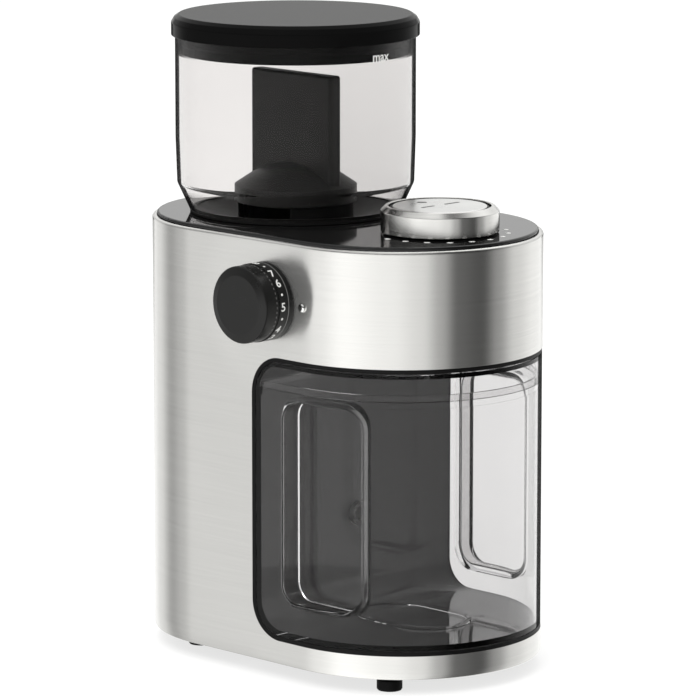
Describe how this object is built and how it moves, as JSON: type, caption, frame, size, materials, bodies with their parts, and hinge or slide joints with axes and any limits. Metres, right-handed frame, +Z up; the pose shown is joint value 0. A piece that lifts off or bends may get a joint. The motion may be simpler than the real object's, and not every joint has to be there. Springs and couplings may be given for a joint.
{
  "type": "burr coffee grinder",
  "caption": "Free-standing burr coffee grinder: steel housing, clear bean hopper with shut-off paddle, clear grounds container, grind-size knob and dose dial with push button.",
  "frame": {"origin": "middle of the grinder's footprint box on the plane under the rubber feet", "axes": "+Z up, -Y towards the front where the grounds container is, -X towards the grind-size knob"},
  "size_m": [0.1328, 0.1908, 0.268],
  "materials": {
    "steel": "horizontally brushed sheet",
    "deck_black": "polished moulding",
    "trim_black": "fine matt moulding",
    "grey_plastic": "matt moulding",
    "rubber": "matt",
    "bright_pin": "polished",
    "screw_zinc": "zinc plated",
    "bearing_steel": "ground",
    "burr_steel": "hardened and ground",
    "cast_alloy": "die cast",
    "motor_zinc": "drawn and plated",
    "magnet": "sintered",
    "laminations": "stacked sheet",
    "nylon": "natural moulding",
    "board": "solder mask",
    "components": "moulded cases",
    "clear_plastic": "clear moulding",
    "lid_plastic": "satin top, polished rim",
    "paddle_plastic": "fine matt moulding",
    "dial_metal": "brushed, bevelled",
    "knob_plastic": "satin moulding",
    "spring_steel": "bright wire",
    "carbon": "pressed carbon"
  },
  "bodies": {
    "housing": {"steel_housing": "steel", "top_deck": "deck_black", "hopper_seat": "trim_black", "bay_liner": "trim_black", "base_plate": "trim_black", "rubber_feet": "rubber", "tie_rods": "screw_zinc", "chassis": "grey_plastic", "isolators": "rubber", "index_pin": "bright_pin", "knob_bush": "trim_black", "cord_gland": "rubber", "gearbox_housing": "grey_plastic", "gearbox_cover": "grey_plastic", "spindle_bearings": "bearing_steel", "idler_axle": "bearing_steel", "case_screws": "screw_zinc", "burr_housing": "grey_plastic", "chute": "trim_black", "worm_bracket": "screw_zinc", "motor_can": "motor_zinc", "motor_magnets": "magnet", "motor_end_cap": "trim_black", "motor_brushes": "carbon", "control_board": "board", "dial_encoder": "components", "power_board": "board", "board_parts": "components", "reed_switches": "components"},
    "rotor": {"motor_shaft": "bearing_steel", "armature": "laminations", "motor_pinion": "nylon"},
    "idler": {"idler_gear": "nylon"},
    "spindle": {"spindle_gear": "nylon", "drive_spindle": "bearing_steel", "impeller": "nylon", "lower_burr": "burr_steel", "burr_bolt": "screw_zinc"},
    "ring": {"adjust_ring": "nylon"},
    "burr_set": {"burr_carrier": "grey_plastic", "upper_burr": "burr_steel", "burr_screws": "screw_zinc"},
    "knob": {"grind_knob": "knob_plastic", "knob_shaft": "bearing_steel", "worm": "nylon"},
    "dial": {"dial_ring": "dial_metal", "dial_carrier": "trim_black"},
    "button": {"button_cap": "dial_metal", "button_stem": "trim_black", "button_spring": "spring_steel"},
    "hopper": {"hopper_bowl": "clear_plastic", "hopper_base": "trim_black", "hopper_magnet": "magnet"},
    "valve": {"valve_drum": "paddle_plastic", "valve_paddle": "paddle_plastic"},
    "lid": {"hopper_lid": "lid_plastic", "lid_seal": "rubber"},
    "grounds_container": {"container": "clear_plastic", "container_magnet": "magnet", "container_lid": "clear_plastic"}
  },
  "joints": [
    {"name": "hopper_lift", "type": "slide", "parent": "housing", "child": "hopper", "axis": [0, 0, 1], "range_m": [0, 0.08]},
    {"name": "lid_lift", "type": "slide", "parent": "hopper", "child": "lid", "axis": [0, 0, 1], "range_m": [0, 0.06]},
    {"name": "valve_turn", "type": "hinge", "parent": "hopper", "child": "valve", "pos_m": [0.00835, 0.0257, 0.2], "axis": [0, 0, 1], "range_deg": [0, 90]},
    {"name": "dial_turn", "type": "hinge", "parent": "housing", "child": "dial", "pos_m": [0.00835, -0.0586, 0.19], "axis": [0, 0, 1], "range_deg": [-140, 140]},
    {"name": "button_press", "type": "slide", "parent": "housing", "child": "button", "axis": [0, 0, -1], "range_m": [0, 0.0012], "stiffness_N_per_m": 600, "springref_m": -0.0025, "deforming": ["button_spring"]},
    {"name": "knob_turn", "type": "hinge", "parent": "housing", "child": "knob", "pos_m": [-0.05165, -0.0168, 0.1581], "axis": [1, 0, 0], "range_deg": [-144, 144]},
    {"name": "ring_turn", "type": "hinge", "parent": "housing", "child": "ring", "pos_m": [0.00835, 0.0257, 0.1581], "axis": [0, 0, 1], "range_deg": [-3, 3]},
    {"name": "burr_adjust", "type": "slide", "parent": "housing", "child": "burr_set", "axis": [0, 0, 1], "range_m": [-0.000447, 0.000447]},
    {"name": "motor_spin", "type": "hinge", "parent": "housing", "child": "rotor", "pos_m": [0.00225, 0.0517, 0.08], "axis": [0, 0, 1], "continuous": true},
    {"name": "idler_spin", "type": "hinge", "parent": "housing", "child": "idler", "pos_m": [0.02785, 0.0517, 0.125], "axis": [0, 0, 1], "continuous": true},
    {"name": "burr_spin", "type": "hinge", "parent": "housing", "child": "spindle", "pos_m": [0.00835, 0.0257, 0.145], "axis": [0, 0, 1], "continuous": true},
    {"name": "container_pull", "type": "slide", "parent": "housing", "child": "grounds_container", "axis": [0, -1, 0], "range_m": [0, 0.12]}
  ],
  "couplings": [
    {"joint": "knob_turn", "follows": "burr_adjust", "rad_per_m": -5612.1},
    {"joint": "ring_turn", "follows": "burr_adjust", "rad_per_m": 112.24},
    {"joint": "idler_spin", "follows": "motor_spin", "ratio": -0.3617},
    {"joint": "burr_spin", "follows": "motor_spin", "ratio": 0.1281}
  ]
}
